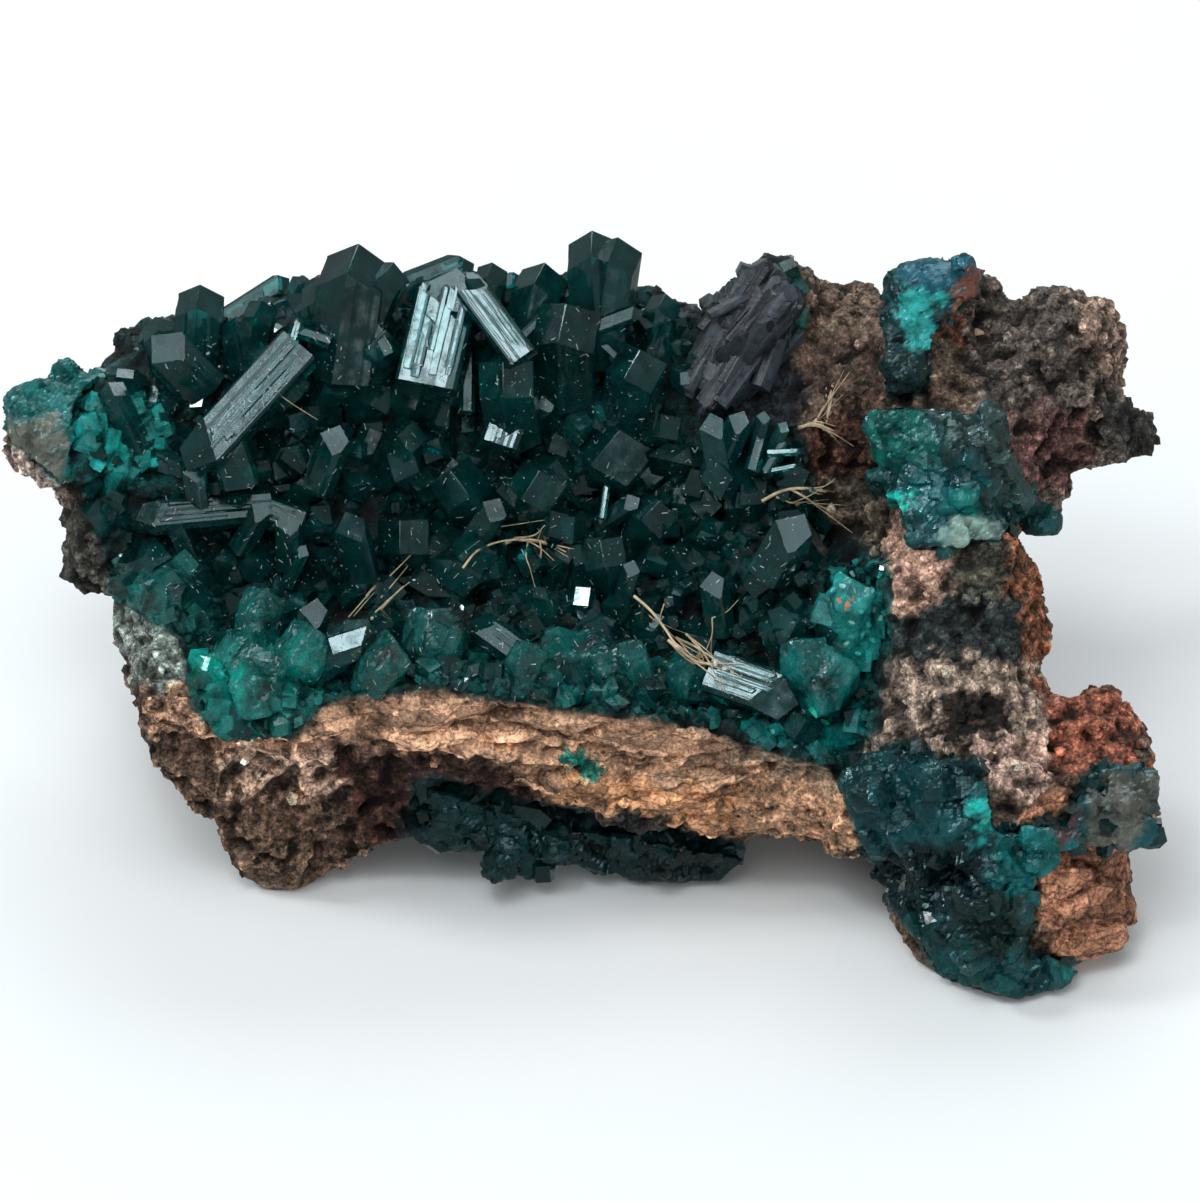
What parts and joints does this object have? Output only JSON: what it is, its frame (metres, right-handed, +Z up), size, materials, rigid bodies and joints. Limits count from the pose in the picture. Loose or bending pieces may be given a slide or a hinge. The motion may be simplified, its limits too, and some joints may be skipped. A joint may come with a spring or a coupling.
{
  "type": "dioptase specimen",
  "caption": "Hand specimen of dark blue-green dioptase crystals lining a leaning hollow of brown rock, with a tan broken ledge and knobby lobes.",
  "frame": {"origin": "the middle of the rock's flat resting face, on the table", "axes": "+X to the right as seen from the crystal side, -Y towards the viewer in front of the crystals, +Z up from the table"},
  "size_m": [0.0929, 0.0542, 0.0442],
  "materials": {
    "brown_rock": "rough and granular, from tan on the broken ledge to dark brown and grey on the lobes",
    "dark_dioptase": "clear dark blue-green crystals with a glassy lustre and lengthwise grooves",
    "teal_cap": "fine crystals of a lighter teal, half clear",
    "blue_green_crust": "fine blue-green crystals, nearly opaque",
    "glassy_teal": "glassy teal crystals",
    "lower_dioptase": "clear blue-green crystals",
    "shaded_dioptase": "clear dark teal crystals"
  },
  "bodies": {
    "root": {"matrix": "brown_rock", "main_druse": "dark_dioptase", "left_cap": "teal_cap", "knob_patch": "blue_green_crust", "right_patch": "glassy_teal", "lower_druse": "lower_dioptase", "underside_druse": "shaded_dioptase"}
  },
  "joints": []
}
